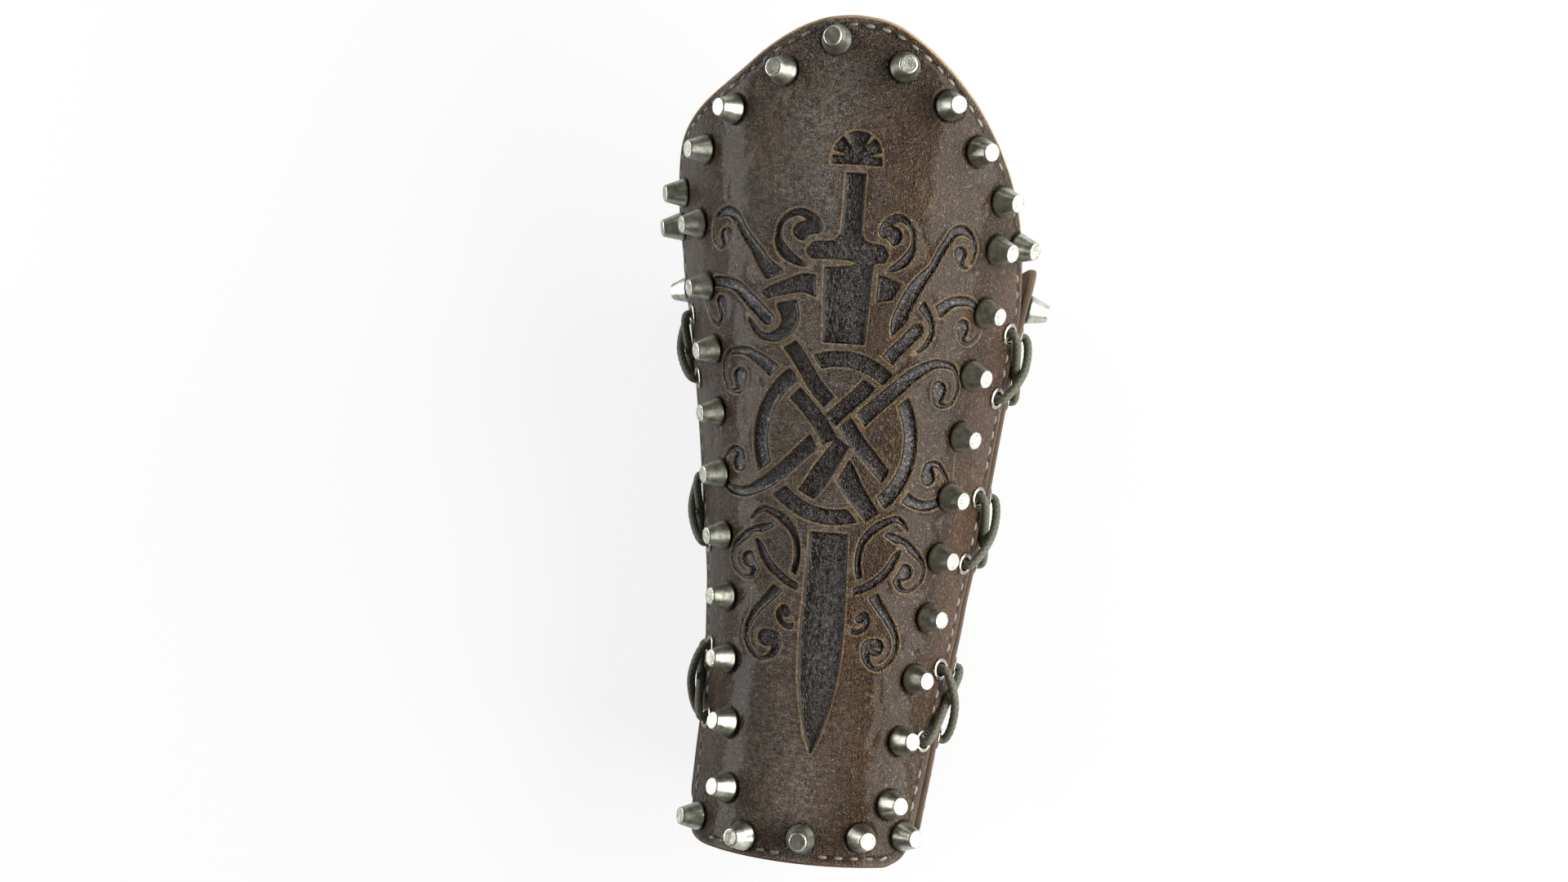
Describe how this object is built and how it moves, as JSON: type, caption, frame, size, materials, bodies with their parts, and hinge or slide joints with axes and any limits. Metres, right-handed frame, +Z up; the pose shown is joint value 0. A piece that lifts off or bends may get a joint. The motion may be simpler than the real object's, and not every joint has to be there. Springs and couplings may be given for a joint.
{
  "type": "embossed arm bracer",
  "caption": "Leather forearm bracer with a long elbow tongue: two curved panels laced along both sides, cone studs round the front panel and a sword and knotwork relief.",
  "frame": {"origin": "centre of the bounding box, on the floor under the flattened strip of the back panel", "axes": "+X across the arm, +Y from the wrist to the elbow tongue, +Z up through the embossed front panel"},
  "size_m": [0.1366, 0.2726, 0.1102],
  "materials": {
    "leather": "waxed brown leather, glossy on worn faces",
    "pewter": "dull pewter with polished tips",
    "cord": "waxed olive cord"
  },
  "bodies": {
    "root": {"back_panel": "leather", "front_panel": "leather", "lace_left": "cord", "lace_right": "cord", "stud_back_left": "pewter", "stud_back_right": "pewter", "stud_column_left_1": "pewter", "stud_column_left_10": "pewter", "stud_column_left_2": "pewter", "stud_column_left_3": "pewter", "stud_column_left_4": "pewter", "stud_column_left_5": "pewter", "stud_column_left_6": "pewter", "stud_column_left_7": "pewter", "stud_column_left_8": "pewter", "stud_column_left_9": "pewter", "stud_column_right_1": "pewter", "stud_column_right_10": "pewter", "stud_column_right_2": "pewter", "stud_column_right_3": "pewter", "stud_column_right_4": "pewter", "stud_column_right_5": "pewter", "stud_column_right_6": "pewter", "stud_column_right_7": "pewter", "stud_column_right_8": "pewter", "stud_column_right_9": "pewter", "stud_tongue_left_1": "pewter", "stud_tongue_left_2": "pewter", "stud_tongue_left_3": "pewter", "stud_tongue_left_4": "pewter", "stud_tongue_left_5": "pewter", "stud_tongue_right_1": "pewter", "stud_tongue_right_2": "pewter", "stud_tongue_right_3": "pewter", "stud_tongue_right_4": "pewter", "stud_tongue_right_5": "pewter", "stud_tongue_top": "pewter", "stud_wrist_1": "pewter", "stud_wrist_2": "pewter", "stud_wrist_3": "pewter", "stud_wrist_left_corner": "pewter", "stud_wrist_right_corner": "pewter"}
  },
  "joints": []
}
